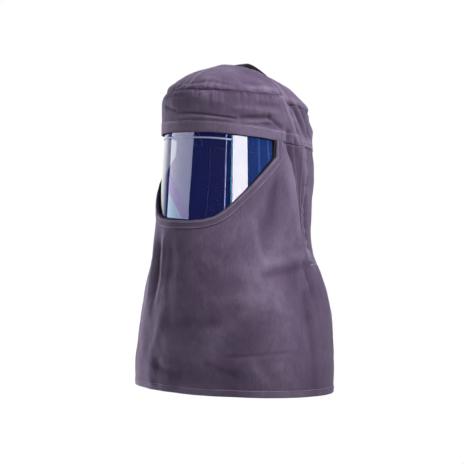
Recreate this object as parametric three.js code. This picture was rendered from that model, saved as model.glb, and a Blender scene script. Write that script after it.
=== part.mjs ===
// Arc flash hood: a four-gore crown on a brow band and a rear band, a front drape cut out for a curved
// visor, a back drape joined to it at two side seams that open into slits, and a strap to hang it by.
// Millimetres, +Z up. The wearer faces -Y and the wearer's left is +X.
// The origin is the inside of the crown's highest point, where the hood sits on what wears it.

import * as THREE from "three";

// Driving dimensions of the whole hood
const hoodDrop = 543; // crown's top to the hem
const domeDepth = 75; // height of the domed part of the crown
const headWidth = 230; // outside the bands
const headDepth = 278;
const hemWidth = 378;
const hemDepth = 260;
const clothThickness = 2;
const seamGap = 0.3; // between any two pieces that meet
const domeRoundness = 1.7; // 2 would be an ellipse, less is more pointed

// Seams and edges, as drops from the crown's top
const crownSeamFront = 59.5; // under the front gores, straight ahead
const crownSeamSide = 51; // and at the side seams, where it steps down to the rear band
const rearSeamSide = 64; // under the back gores, at the side seams
const rearSeamBack = 66;
const browEdgeFront = 125;
const browEdgeBack = 132;
const slitTop = 335;
const sideDrop = 5; // the seams and edges of the head hang this much lower on the wearer's left
const slitSpread = 9; // how far the slit's two edges stand apart at the hem
const goreHole = 1.5; // radius left open where the four gores meet

// Angles round the head, in degrees from straight ahead
const bandTopAngle = 90;
const bandFootAngle = 104;
const drapeSeamAngle = 110;
const slitTopAngle = 124;
const slitFootAngle = 120;
const slitTurn = 18; // height over which the front drape's edge runs out to the slit's angle
const openingAngle = 80;

// The visor, the trim it is set in and its top rail
const openingDrop = 139.5; // brow edge to the lowest point of the opening
const visorThickness = 1.6;
const visorTuck = 12; // hidden under the brow band
const visorLap = 9; // hidden behind the drape round the opening
const gasketThickness = 2.2;
const gasketShow = 1.6; // stands out past the cloth's edge
const gasketLap = 6.5; // lies behind the cloth
const gasketEase = 0.5; // between the trim and the cloth over it
const railHeight = 2.4;
const railThickness = 1.2;
const railDrop = 9; // brow edge to the rail's middle
const railShortAngle = 38; // degrees that the rail ends short of the opening on each side

// The hanging strap, along the back centre seam
const loopStart = 2; // behind the crown's top
const loopLength = 114;
const loopWidth = 22;
const loopThickness = 2.4;
const loopRise = 10.5;
const loopFoot = 0.05; // share of its length that is sewn flat at each end
const loopFlatness = 4; // 2 would be a round arch, more is flatter with steeper ends

// Sections below the dome. drop is a share of the dome's foot to the hem. flare goes from the head's width
// and depth (0) to the hem's (1). front, back and rear are shares of that depth: how far the section reaches
// ahead, behind each side, and straight behind. lean is how far it drops towards the back, and square is 2
// for an ellipse.
const sections = [
  { drop: 0.0, flare: -0.05, front: 0.465, back: 0.52, rear: 0.52, lean: 0.08, square: 2.1 },
  { drop: 0.11, flare: -0.01, front: 0.453, back: 0.552, rear: 0.545, lean: 0.06, square: 2.15 },
  { drop: 0.18, flare: 0.02, front: 0.466, back: 0.566, rear: 0.55, lean: 0.05, square: 2.15 },
  { drop: 0.252, flare: 0.05, front: 0.489, back: 0.556, rear: 0.545, lean: 0.03, square: 2.15 },
  { drop: 0.325, flare: 0.07, front: 0.5, back: 0.537, rear: 0.53, lean: 0.02, square: 2.1 },
  { drop: 0.412, flare: 0.11, front: 0.507, back: 0.507, rear: 0.51, lean: 0.01, square: 2.05 },
  { drop: 0.47, flare: 0.15, front: 0.525, back: 0.514, rear: 0.5, lean: 0, square: 2 },
  { drop: 0.528, flare: 0.23, front: 0.529, back: 0.531, rear: 0.5, lean: 0, square: 2 },
  { drop: 0.588, flare: 0.4, front: 0.531, back: 0.572, rear: 0.51, lean: 0, square: 2 },
  { drop: 0.645, flare: 0.56, front: 0.537, back: 0.592, rear: 0.525, lean: 0, square: 2 },
  { drop: 0.703, flare: 0.7, front: 0.542, back: 0.588, rear: 0.53, lean: 0, square: 2 },
  { drop: 0.763, flare: 0.8, front: 0.545, back: 0.574, rear: 0.53, lean: 0, square: 2 },
  { drop: 0.835, flare: 0.89, front: 0.558, back: 0.545, rear: 0.515, lean: 0, square: 2 },
  { drop: 0.908, flare: 0.96, front: 0.574, back: 0.506, rear: 0.49, lean: 0.008, square: 2 },
  { drop: 1.0, flare: 1, front: 0.555, back: 0.465, rear: 0.46, lean: 0.013, square: 2 },
];

// Half of the opening's edge, from its lowest point round to the brow. around is a share of openingAngle
// and drop a share of openingDrop.
const openingEdge = [
  { around: 0.0, drop: 1.0 },
  { around: 0.13, drop: 0.998 },
  { around: 0.27, drop: 0.98 },
  { around: 0.38, drop: 0.94 },
  { around: 0.48, drop: 0.86 },
  { around: 0.57, drop: 0.757 },
  { around: 0.66, drop: 0.652 },
  { around: 0.82, drop: 0.447 },
  { around: 0.99, drop: 0.225 },
];

// Folds of the cloth. top and foot are the fold's angle round the head at its two ends, from and to are
// those ends as shares of hoodDrop, spread is its half width in degrees, and rise is a share of foldRise,
// below 0 for a hollow.
const foldRise = 6;
const folds = [
  { top: 88, foot: 97, from: 0.215, to: 0.36, spread: 3.4, rise: -0.8 },
  { top: 84, foot: 100, from: 0.25, to: 0.56, spread: 4.2, rise: 0.7 },
  { top: 100, foot: 110, from: 0.3, to: 0.58, spread: 5.2, rise: -1.0 },
  { top: 84, foot: 68, from: 0.29, to: 0.54, spread: 5.5, rise: -0.75 },
  { top: 106, foot: 90, from: 0.6, to: 0.73, spread: 5, rise: -0.7 },
  { top: 60, foot: 64, from: 0.56, to: 1.1, spread: 13, rise: 0.5 },
  { top: 34, foot: 30, from: 0.66, to: 1.15, spread: 11, rise: -0.5 },
  { top: -14, foot: -20, from: 0.5, to: 0.78, spread: 5, rise: -0.4 },
  { top: -30, foot: -34, from: 0.48, to: 0.9, spread: 6, rise: 0.45 },
  { top: -58, foot: -66, from: 0.55, to: 1.1, spread: 10, rise: -0.45 },
  { top: -86, foot: -98, from: 0.24, to: 0.5, spread: 4, rise: -0.8 },
  { top: -82, foot: -70, from: 0.3, to: 0.6, spread: 6, rise: 0.5 },
  { top: -106, foot: -92, from: 0.58, to: 0.76, spread: 6, rise: -0.6 },
  { top: 150, foot: 146, from: 0.26, to: 0.62, spread: 7, rise: -0.8 },
  { top: 178, foot: 184, from: 0.3, to: 0.7, spread: 8, rise: 0.7 },
  { top: 212, foot: 216, from: 0.28, to: 0.6, spread: 7, rise: -0.7 },
  { top: 165, foot: 158, from: 0.6, to: 1.15, spread: 12, rise: 0.6 },
  { top: 200, foot: 206, from: 0.6, to: 1.15, spread: 11, rise: -0.6 },
  { top: 54, foot: 86, from: 0.175, to: 0.24, spread: 9, rise: -0.3 },
  { top: 122, foot: 116, from: 0.13, to: 0.24, spread: 4, rise: -0.45 },
  { top: 132, foot: 128, from: 0.14, to: 0.24, spread: 4, rise: 0.4 },
];

// The places and lengths that follow from the sizes above
const gasketFront = clothThickness + gasketEase; // depths under the cloth's outer face
const gasketBack = gasketFront + gasketThickness;
const visorFace = gasketBack + seamGap;
const visorTopDrop = browEdgeFront - visorTuck;
const visorFootDrop = browEdgeFront + openingDrop + visorLap;
const headRadius = (headWidth + headDepth) / 4;
const railAngle = openingAngle - railShortAngle;
const goreHoleShare = goreHole / headRadius;
const calmDrop = 45; // below the opening the folds grow to their full depth over this length
const calmAngle = 9; // and behind it over this angle
const rearStart = 0.45; // where a section turns from its back to its rear reach, as the angle's cosine

const clothLook = { color: 0x645769, roughness: 0.9, metalness: 0 };
const visorLook = { color: 0x24306e, roughness: 0.06, metalness: 0, transparent: true, opacity: 0.55 };
const railLook = { color: 0xaab2cc, roughness: 0.2, metalness: 0 };
const trimLook = { color: 0x141418, roughness: 0.75, metalness: 0 };

const { lerp, clamp, degToRad, radToDeg, smoothstep } = THREE.MathUtils;

// A smooth curve through one column of the sections
function sectionValue(column, drop) {
  const last = sections.length - 1;
  let k = 0;
  while (k < last - 1 && drop > sections[k + 1].drop) k += 1;
  const slope = (n) => {
    const before = sections[Math.max(n - 1, 0)];
    const after = sections[Math.min(n + 1, last)];
    return (after[column] - before[column]) / (after.drop - before.drop);
  };
  const here = sections[k];
  const next = sections[k + 1];
  const step = next.drop - here.drop;
  const s = clamp((drop - here.drop) / step, 0, 1);
  const start = (1 + 2 * s) * (1 - s) ** 2 * here[column] + s * (1 - s) ** 2 * step * slope(k);
  const end = s * s * (3 - 2 * s) * next[column] + s * s * (s - 1) * step * slope(k + 1);
  return start + end;
}

// How wide the dome is at a drop, as a share of its foot, and the drop for such a share
function domeShare(drop) {
  if (drop >= domeDepth) return 1;
  return (1 - (1 - drop / domeDepth) ** domeRoundness) ** (1 / domeRoundness);
}

function domeDrop(share) {
  return domeDepth * (1 - (1 - share ** domeRoundness) ** (1 / domeRoundness));
}

// The unfolded outer face of the hood, at an angle round the head and a drop from its top
function plainForm(around, drop) {
  const below = Math.max(0, (drop - domeDepth) / (hoodDrop - domeDepth));
  const flare = sectionValue("flare", below);
  const depth = lerp(headDepth, hemDepth, flare);
  const side = Math.sin(degToRad(around));
  const ahead = Math.cos(degToRad(around));
  const power = 2 / sectionValue("square", below);
  const behind = lerp(
    sectionValue("back", below), sectionValue("rear", below), smoothstep(-ahead, rearStart, 1));
  const reach = depth * (ahead > 0 ? sectionValue("front", below) : behind);
  const x = (lerp(headWidth, hemWidth, flare) / 2) * Math.sign(side) * Math.abs(side) ** power;
  const forward = reach * Math.sign(ahead) * Math.abs(ahead) ** power * domeShare(drop);
  return new THREE.Vector3(
    x * domeShare(drop), -forward, clothThickness - drop + sectionValue("lean", below) * forward);
}

// The point of a form that stands off its face by a distance, outward where it is above 0
function offFace(form, around, drop, distance) {
  const turn = 0.4;
  const fall = Math.min(0.5, drop / 4);
  const along = form(around + turn, drop).sub(form(around - turn, drop));
  const down = form(around, drop + fall).sub(form(around, drop - fall));
  const outward = down.cross(along).normalize();
  return form(around, drop).addScaledVector(outward, distance);
}

// Seams and edges as drops at an angle
function slantedEdge(front, back, around) {
  const turn = degToRad(around);
  return lerp(front, back, (1 - Math.cos(turn)) / 2) + sideDrop * Math.sin(turn);
}

function frontSeam(around) {
  const turned = 1 - Math.max(Math.cos(degToRad(around)), 0);
  return lerp(crownSeamFront, crownSeamSide, turned ** 2) + sideDrop * Math.sin(degToRad(around));
}

function rearSeam(around) {
  const turned = Math.max(-Math.cos(degToRad(around)), 0);
  return lerp(rearSeamSide, rearSeamBack, turned) + sideDrop * Math.sin(degToRad(around));
}

const browEdge = (around) => slantedEdge(browEdgeFront, browEdgeBack, around);

function openingLow(around) {
  const share = Math.abs(around) / openingAngle;
  const last = openingEdge.length - 1;
  let k = 0;
  while (k < last - 1 && share > openingEdge[k + 1].around) k += 1;
  const here = openingEdge[k];
  const next = openingEdge[k + 1];
  const s = clamp((share - here.around) / (next.around - here.around), 0, 1);
  return slantedEdge(browEdgeFront, browEdgeFront, around) + openingDrop * lerp(here.drop, next.drop, s);
}

// How far the side seam at an angle of +90 or -90 degrees leans back at a drop between crown and brow edge
function seamLean(side, drop) {
  const top = frontSeam(side * bandTopAngle);
  const foot = browEdge(side * bandFootAngle);
  return (bandFootAngle - bandTopAngle) * clamp((drop - top) / (foot - top), 0, 1);
}

// The angle of the side seam, and below its end of the front drape's free edge
function sideAngle(drop) {
  const below = clamp((drop - slitTop) / (hoodDrop - slitTop), 0, 1);
  const open = smoothstep(drop, slitTop - slitTurn / 2, slitTop + slitTurn / 2);
  return lerp(drapeSeamAngle, lerp(slitTopAngle, slitFootAngle, below), open);
}

// How much of a fold is left near the opening and the visor behind it, from 0 to 1
function calm(around, drop) {
  const turned = Math.abs(around > 180 ? around - 360 : around);
  const past = turned - openingAngle - angleOf(visorLap / 2, browEdgeFront);
  const under = drop - openingLow(around) - visorLap;
  const above = browEdge(around) - visorTuck - drop;
  return Math.max(
    smoothstep(past, 0, calmAngle), smoothstep(under, 0, calmDrop), smoothstep(above, 0, visorTuck));
}

function foldHeight(around, drop) {
  let height = 0;
  for (const fold of folds) {
    const s = (drop / hoodDrop - fold.from) / (fold.to - fold.from);
    if (s <= 0 || s >= 1) continue;
    const turns = (around - lerp(fold.top, fold.foot, s)) / 360;
    const off = (turns - Math.round(turns)) * 360;
    height += fold.rise * foldRise * Math.sin(Math.PI * s) * Math.exp(-((off / fold.spread) ** 2));
  }
  return height * calm(around, drop);
}

const clothForm = (around, drop) => offFace(plainForm, around, drop, foldHeight(around, drop));

// The visor bends one way only: straight lines join its top curve to its foot curve
function visorForm(around, drop) {
  const top = plainForm(around, visorTopDrop);
  const foot = plainForm(around, visorFootDrop);
  return top.lerp(foot, (drop - visorTopDrop) / (visorFootDrop - visorTopDrop));
}

const clothFace = (depth) => (around, drop) => offFace(clothForm, around, drop, -depth);
const visorSide = (depth) => (around, drop) => offFace(visorForm, around, drop, -depth);

// A closed wall between an outer and an inner face. place gives the angle and drop at (u, v), and both
// faces are read there. us and vs are the shares at which the wall has its edges.
function wall(name, look, us, vs, place, outer, inner) {
  const points = [];
  for (const face of [outer, inner]) {
    for (const v of vs) {
      for (const u of us) points.push(...face(...place(u, v)).toArray());
    }
  }
  const wide = us.length;
  const layer = us.length * vs.length;
  const at = (i, j, face) => face * layer + j * wide + i;
  const index = [];
  const quad = (a, b, c, d) => index.push(a, b, c, a, c, d);
  for (let j = 0; j < vs.length - 1; j += 1) {
    for (let i = 0; i < wide - 1; i += 1) {
      quad(at(i, j, 0), at(i, j + 1, 0), at(i + 1, j + 1, 0), at(i + 1, j, 0));
      quad(at(i, j, 1), at(i + 1, j, 1), at(i + 1, j + 1, 1), at(i, j + 1, 1));
    }
  }
  for (let i = 0; i < wide - 1; i += 1) {
    const foot = vs.length - 1;
    quad(at(i, 0, 1), at(i, 0, 0), at(i + 1, 0, 0), at(i + 1, 0, 1));
    quad(at(i, foot, 0), at(i, foot, 1), at(i + 1, foot, 1), at(i + 1, foot, 0));
  }
  for (let j = 0; j < vs.length - 1; j += 1) {
    const end = wide - 1;
    quad(at(0, j, 1), at(0, j + 1, 1), at(0, j + 1, 0), at(0, j, 0));
    quad(at(end, j, 0), at(end, j + 1, 0), at(end, j + 1, 1), at(end, j, 1));
  }
  const geometry = new THREE.BufferGeometry();
  geometry.setAttribute("position", new THREE.Float32BufferAttribute(points, 3));
  geometry.setIndex(index);
  return namedMesh(name, geometry, look);
}

function namedMesh(name, geometry, look) {
  geometry.computeVertexNormals();
  const mesh = new THREE.Mesh(geometry, new THREE.MeshStandardMaterial(look));
  mesh.name = name;
  return mesh;
}

const even = (steps) => Array.from({ length: steps + 1 }, (_, i) => i / steps);

// The angle that a length takes round the head at a drop
function angleOf(length, drop) {
  return radToDeg(length / (domeShare(drop) * headRadius));
}

// One quarter of the crown, from the middle to the side seam on the side +1 (left) or -1 (right)
function gore(name, side, middleAngle) {
  const inFront = middleAngle === 0;
  const seam = inFront ? frontSeam : rearSeam;
  const sideAngleAt = (drop) => side * (bandTopAngle + seamLean(side, drop));
  const place = (u, v) => {
    const foot = domeShare(seam(lerp(side * middleAngle, side * bandTopAngle, u)) - seamGap / 2);
    const drop = domeDrop(lerp(goreHoleShare, foot, v));
    const inset = side * (inFront ? 1 : -1) * angleOf(seamGap / 2, drop);
    return [lerp(side * middleAngle + inset, sideAngleAt(drop) - inset, u), drop];
  };
  const knee = domeShare(frontSeam(side * bandTopAngle)) / domeShare(rearSeam(side * bandTopAngle));
  const rows = inFront ? even(8) : [...even(7).map((v) => v * knee), 1];
  const columns = (side > 0) === inFront ? even(10) : even(10).reverse();
  return wall(name, clothLook, columns, rows, place, clothFace(0), clothFace(clothThickness));
}

// The band between the crown and the brow edge, in front of the two side seams or behind them
function band(name, steps, inFront) {
  const seam = inFront ? frontSeam : rearSeam;
  const dropAt = (around, v) => lerp(seam(around) + seamGap / 2, browEdge(around) - seamGap / 2, v);
  const inset = angleOf(seamGap / 2, browEdgeFront);
  const endAngle = (side, v) => {
    let angle = bandTopAngle;
    for (let pass = 0; pass < 4; pass += 1) angle = bandTopAngle + seamLean(side, dropAt(side * angle, v));
    return inFront ? angle - inset : angle + inset;
  };
  const place = (u, v) => {
    const around = inFront
      ? lerp(-endAngle(-1, v), endAngle(1, v), u)
      : lerp(endAngle(1, v), 360 - endAngle(-1, v), u);
    return [around, dropAt(around, v)];
  };
  return wall(name, clothLook, even(steps), even(5), place, clothFace(0), clothFace(clothThickness));
}

// The columns of one half of the front drape, on the side +1 (left) or -1 (right): where each one starts on
// the top edge, from the opening's lowest point out to the side seam, and the share of the way to that seam
// at which it meets the hem
function drapeColumns(side) {
  const tops = [];
  const lowSteps = 18;
  const rearSteps = 3;
  const browSteps = 6;
  const lowEnd = openingEdge[openingEdge.length - 1].around * openingAngle;
  const lowOf = (around) => openingLow(side * around);
  const topOf = (around) => browEdge(side * around) + seamGap / 2;
  for (let i = 0; i <= lowSteps; i += 1) {
    const around = (lowEnd * i) / lowSteps;
    tops.push([around, lowOf(around)]);
  }
  for (let i = 1; i <= rearSteps; i += 1) {
    const s = i / rearSteps;
    tops.push([lerp(lowEnd, openingAngle, s), lerp(lowOf(lowEnd), topOf(openingAngle), s)]);
  }
  for (let i = 1; i <= browSteps; i += 1) {
    const around = lerp(openingAngle, drapeSeamAngle, i / browSteps);
    tops.push([around, topOf(around)]);
  }
  const lengths = [0];
  for (let i = 1; i < tops.length; i += 1) {
    const arc = degToRad(tops[i][0] - tops[i - 1][0]) * headRadius;
    lengths.push(lengths[i - 1] + Math.hypot(arc, tops[i][1] - tops[i - 1][1]));
  }
  const whole = lengths[tops.length - 1];
  return tops.map(([around, drop], i) => {
    return { around: side * around, drop, share: (side * lengths[i]) / whole };
  });
}

const bothHalves = () => [...drapeColumns(-1).slice(1).reverse(), ...drapeColumns(1)];

// Half the slit's width at a drop, with the seam's gap above it
function slitHalf(drop) {
  const open = clamp((drop - slitTop) / (hoodDrop - slitTop), 0, 1);
  return angleOf((seamGap + slitSpread * open) / 2, hoodDrop);
}

function frontDrape() {
  const columns = bothHalves();
  const place = (u, v) => {
    const column = columns[Math.round(u * (columns.length - 1))];
    const drop = lerp(column.drop, hoodDrop, v);
    const seamHere = sideAngle(drop) - slitHalf(drop);
    const seamAbove = sideAngle(column.drop) - slitHalf(column.drop);
    const spread = column.around - column.share * seamAbove;
    return [column.share * seamHere + spread * (1 - v), drop];
  };
  return wall(
    "front_drape", clothLook, even(columns.length - 1), even(20), place,
    clothFace(0), clothFace(clothThickness));
}

function backDrape() {
  const place = (u, v) => {
    const drop = lerp(browEdge(lerp(drapeSeamAngle, 360 - drapeSeamAngle, u)) + seamGap / 2, hoodDrop, v);
    const seam = sideAngle(drop) + slitHalf(drop);
    return [lerp(seam, 360 - seam, u), drop];
  };
  return wall("back_drape", clothLook, even(26), even(20), place, clothFace(0), clothFace(clothThickness));
}

function visor() {
  const reach = openingAngle + angleOf(visorLap, browEdgeFront);
  const place = (u, v) => {
    const around = lerp(-reach, reach, u);
    return [around, lerp(browEdge(around) - visorTuck, openingLow(around) + visorLap, v)];
  };
  return wall(
    "visor", visorLook, even(44), even(4), place, visorSide(visorFace),
    visorSide(visorFace + visorThickness));
}

function visorRail() {
  const place = (u, v) => {
    const around = lerp(-railAngle, railAngle, u);
    return [around, browEdge(around) + railDrop + railHeight * (v - 0.5)];
  };
  return wall(
    "visor_rail", railLook, even(36), even(1), place,
    visorSide(visorFace - seamGap - railThickness), visorSide(visorFace - seamGap));
}

// The trim between the cloth and the visor, a strip that follows the opening's edge
function gasket() {
  const columns = bothHalves().filter((c) => Math.abs(c.around) <= openingAngle);
  const place = (u, v) => {
    const k = Math.round(u * (columns.length - 1));
    const before = columns[Math.max(k - 1, 0)];
    const after = columns[Math.min(k + 1, columns.length - 1)];
    const run = degToRad(after.around - before.around) * headRadius;
    const fall = after.drop - before.drop;
    const length = Math.hypot(run, fall);
    const outward = lerp(-gasketShow, gasketLap, v) / length;
    const here = columns[k];
    return [here.around - radToDeg((fall * outward) / headRadius), here.drop + run * outward];
  };
  return wall(
    "visor_gasket", trimLook, even(columns.length - 1), [0, 0.3, 1], place,
    clothFace(gasketFront), visorSide(gasketBack));
}

// A flat strap whose side view runs along the crown's back centre, sewn down at both ends
function hangingLoop() {
  const under = [];
  const over = [];
  const steps = 22;
  const domeReach = plainForm(180, domeDepth).y;
  for (let i = 0; i <= steps; i += 1) {
    const s = i / steps;
    const back = loopStart + loopLength * s;
    const crown = plainForm(180, domeDrop(back / domeReach)).z;
    const arch = clamp((s - loopFoot) / (1 - 2 * loopFoot), 0, 1);
    const rise = loopRise * (1 - Math.abs(2 * arch - 1) ** loopFlatness);
    under.push(new THREE.Vector2(back, crown + seamGap + rise));
  }
  under.forEach((point, i) => {
    const before = under[Math.max(i - 1, 0)];
    const after = under[Math.min(i + 1, steps)];
    const along = after.clone().sub(before).normalize();
    over.push(new THREE.Vector2(point.x - along.y * loopThickness, point.y + along.x * loopThickness));
  });
  const outline = new THREE.Shape([...under, ...over.reverse()]);
  const geometry = new THREE.ExtrudeGeometry(outline, { depth: loopWidth, bevelEnabled: false });
  const toHood = new THREE.Matrix4().makeBasis(
    new THREE.Vector3(0, 1, 0), new THREE.Vector3(0, 0, 1), new THREE.Vector3(1, 0, 0));
  geometry.translate(0, 0, -loopWidth / 2).applyMatrix4(toHood);
  return namedMesh("hang_loop", geometry, trimLook);
}

const hood = new THREE.Group();
hood.add(
  gore("crown_front_left", 1, 0),
  gore("crown_back_left", 1, 180),
  gore("crown_back_right", -1, 180),
  gore("crown_front_right", -1, 0),
  band("brow_band", 36, true),
  band("rear_band", 24, false),
  frontDrape(),
  backDrape(),
  visor(),
  visorRail(),
  gasket(),
  hangingLoop(),
);

export default hood;
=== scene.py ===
import math

import bmesh
import bpy
import numpy as np
from mathutils import Matrix, Vector


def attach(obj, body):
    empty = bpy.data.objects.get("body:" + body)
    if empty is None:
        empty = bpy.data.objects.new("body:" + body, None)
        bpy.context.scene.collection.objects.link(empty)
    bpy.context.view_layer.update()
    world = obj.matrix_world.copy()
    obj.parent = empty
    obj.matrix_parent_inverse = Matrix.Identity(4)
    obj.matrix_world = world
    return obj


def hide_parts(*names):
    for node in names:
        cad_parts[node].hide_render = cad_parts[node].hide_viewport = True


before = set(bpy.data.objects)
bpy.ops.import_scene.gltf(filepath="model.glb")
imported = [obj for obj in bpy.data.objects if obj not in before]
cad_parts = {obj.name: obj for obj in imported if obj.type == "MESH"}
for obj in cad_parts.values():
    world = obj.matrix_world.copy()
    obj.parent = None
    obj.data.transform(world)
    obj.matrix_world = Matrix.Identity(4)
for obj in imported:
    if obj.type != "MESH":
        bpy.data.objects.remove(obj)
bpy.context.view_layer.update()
mm = 0.001

# Camera: level with the middle of the hood, a little to the wearer's left of straight ahead
cameraSet = {"azimuth": 41, "distance": 2.0, "height": -0.2796, "aside": -0.0034, "lens": 90.93}


def addObject(name, data):
    added = bpy.data.objects.new(name, data)
    bpy.context.collection.objects.link(added)
    return added


def meshOf(name, bm):
    mesh = bpy.data.meshes.new(name)
    bm.to_mesh(mesh)
    bm.free()
    return mesh


def towards(azimuth):
    turn = math.radians(azimuth)
    return Vector((math.sin(turn), -math.cos(turn), 0))


def lookAt(added, aim, away):  # stands it away from its aim, looking back
    added.location = aim + away
    added.rotation_euler = (-away).to_track_quat("-Z", "Y").to_euler()


def placeCamera():
    right = towards(cameraSet["azimuth"] + 90)
    data = bpy.data.cameras.new("hoodCamera")
    data.lens, data.sensor_width = cameraSet["lens"], 36
    camera = addObject("hoodCamera", data)
    aim = Vector((0, 0, cameraSet["height"])) + right * cameraSet["aside"]
    lookAt(camera, aim, towards(cameraSet["azimuth"]) * cameraSet["distance"])
    bpy.context.scene.camera = camera


placeCamera()
print("camera placed")

# The hood's cut, in millimetres and degrees from straight ahead, + towards the wearer's left.
# A drop is measured down from the crown's top.
hoodCut = {
    "drop": 543, "domeDepth": 75, "headWidth": 230, "headDepth": 278, "hemWidth": 378, "hemDepth": 260,
    "cloth": 2.0, "seam": 0.04, "lap": 1.2, "roundness": 1.7,
    "crownFront": 59.5, "crownSide": 51, "rearSide": 64, "rearBack": 66,
    "browFront": 125, "browBack": 132, "sideDrop": 5, "slitTop": 335, "slitSpread": 9, "slitTurn": 18,
    "bandTop": 90, "bandFoot": 104, "sideSeam": 110, "slitAngleTop": 124, "slitAngleFoot": 120,
    "openAngle": 80, "openDrop": 139.5, "rearStart": 0.45, "calmDrop": 45, "calmAngle": 6, "foldRise": 6,
}
headRadius = (hoodCut["headWidth"] + hoodCut["headDepth"]) / 4
halfSeam = hoodCut["seam"] / 2
crownSeams = (0, 90, 180, 270)
headDegree = 2.2  # about how many millimetres one degree is, round the head

# Depths under the cloth's outer face, what is hidden behind the cloth's edges, columns and rows of the grid
visorCut = {"face": 5.0, "thick": 1.6, "tuck": 12, "lap": 9, "steps": (240, 12)}
trimCut = {"front": 2.5, "back": 4.7, "show": 1.6, "lap": 6.5, "steps": (300, 14)}
railCut = {"height": 2.4, "thick": 1.2, "drop": 9, "reach": 42, "ease": 0.3, "round": 0.4, "steps": (160, 2)}

# Sections from the dome's foot (0) to the hem (1). flare goes from the head's size to the hem's, front,
# back and rear are shares of the depth, lean drops the section to the back, square is 2 for an ellipse.
sections = {
    "drop": [0, .11, .18, .252, .325, .412, .47, .528, .588, .645, .703, .763, .835, .908, 1],
    "flare": [-.05, -.01, .02, .05, .07, .11, .15, .23, .4, .56, .7, .8, .89, .96, 1],
    "front": [.465, .453, .466, .489, .5, .507, .525, .529, .531, .537, .542, .545, .558, .574, .555],
    "back": [.52, .552, .566, .556, .537, .507, .514, .531, .572, .592, .588, .574, .545, .506, .465],
    "rear": [.52, .545, .55, .545, .53, .51, .5, .5, .51, .525, .53, .53, .515, .49, .46],
    "lean": [.08, .06, .05, .03, .02, .01, 0, 0, 0, 0, 0, 0, 0, .008, .013],
    "square": [2.1, 2.15, 2.15, 2.15, 2.1, 2.05, 2, 2, 2, 2, 2, 2, 2, 2, 2],
}

# Half of the opening's edge: shares of openAngle and openDrop
openingEdge = {
    "around": [0, .13, .27, .38, .48, .57, .66, .82, .99],
    "low": [1, .998, .98, .94, .86, .757, .652, .447, .225],
}

# Main folds: angles at the two ends, the ends as shares of the hood's drop, half width in degrees, rise
mainFolds = [
    (88, 97, .215, .36, 3.4, -.8), (84, 100, .25, .56, 4.2, .7), (100, 110, .3, .58, 5.2, -1),
    (84, 68, .29, .54, 5.5, -.75), (106, 90, .6, .73, 5, -.7), (60, 64, .56, 1.1, 13, .5),
    (34, 30, .66, 1.15, 11, -.5), (-14, -20, .5, .78, 5, -.4), (-30, -34, .48, .9, 6, .45),
    (-58, -66, .55, 1.1, 10, -.45), (-86, -98, .24, .5, 4, -.8), (-82, -70, .3, .6, 6, .5),
    (-106, -92, .58, .76, 6, -.6), (150, 146, .26, .62, 7, -.8), (178, 184, .3, .7, 8, .7),
    (212, 216, .28, .6, 7, -.7), (165, 158, .6, 1.15, 12, .6), (200, 206, .6, 1.15, 11, -.6),
    (54, 86, .175, .24, 9, -.3), (122, 116, .13, .24, 4, -.45), (132, 128, .14, .24, 4, .4),
]

# Finer folds that run down the cloth, the same way, with the rise in millimetres
fineFolds = [
    (91, 97, .2, .37, 2.2, -4.8), (97, 104, .22, .44, 2.4, -4.2), (87, 92, .2, .46, 2.2, 3.2),
    (94, 101, .225, .43, 1.6, 2.8), (101, 114, .25, .54, 3.2, -4.6), (90, 99, .27, .6, 2.6, 3.6),
    (87, 76, .24, .52, 3.6, 1.8), (80, 64, .34, .58, 4, -2), (104, 112, .42, .6, 2, 1.6),
    (99, 93, .6, .7, 2, -2.2), (112, 106, .6, .68, 2.4, 1.6), (95, 84, .57, .98, 3, 1.6),
    (86, 80, .66, 1.1, 3.4, -2), (58, 63, .47, .66, 2.6, 1.2), (64, 66, .47, .68, 2.8, -1.2),
    (-28, -31, .44, .82, 2.2, 3), (-20, -24, .44, .82, 2.4, -3.2), (-12, -19, .44, .8, 2.2, 3),
    (-4, -5, .46, .82, 5, -2.4), (-36, -38, .44, .86, 2.4, -2.2), (-44, -50, .5, .9, 3, 1.6),
    (-10, -24, .72, .98, 3.5, 1.4), (8, -2, .74, 1.05, 5, -1.6), (26, 20, .78, 1.1, 6, 1.2),
    (94, 117, .105, .25, 2.2, -4), (99, 124, .11, .26, 2, 3.4), (104, 134, .115, .25, 2.4, -4.2),
    (112, 146, .12, .25, 2.4, 2.4), (122, 158, .12, .25, 3, -2.4), (-96, -118, .11, .25, 2.6, -2.6),
    (150, 140, .16, .5, 2.5, -1.6), (170, 172, .2, .6, 3, 1.4), (195, 190, .25, .7, 3, -1.4),
    (225, 222, .2, .5, 2.5, 1.4), (245, 250, .3, .8, 3, -1.6), (138, 136, .65, 1.1, 5, 1.4),
    (182, 180, .7, 1.1, 6, -1.6), (222, 226, .68, 1.1, 6, 1.4), (-75, -80, .6, 1.1, 5, 1.4),
    (-88, -94, .22, .42, 2, -2.2), (-93, -102, .24, .5, 2.4, 2), (-84, -78, .26, .5, 3.2, 1.6),
]

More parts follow.
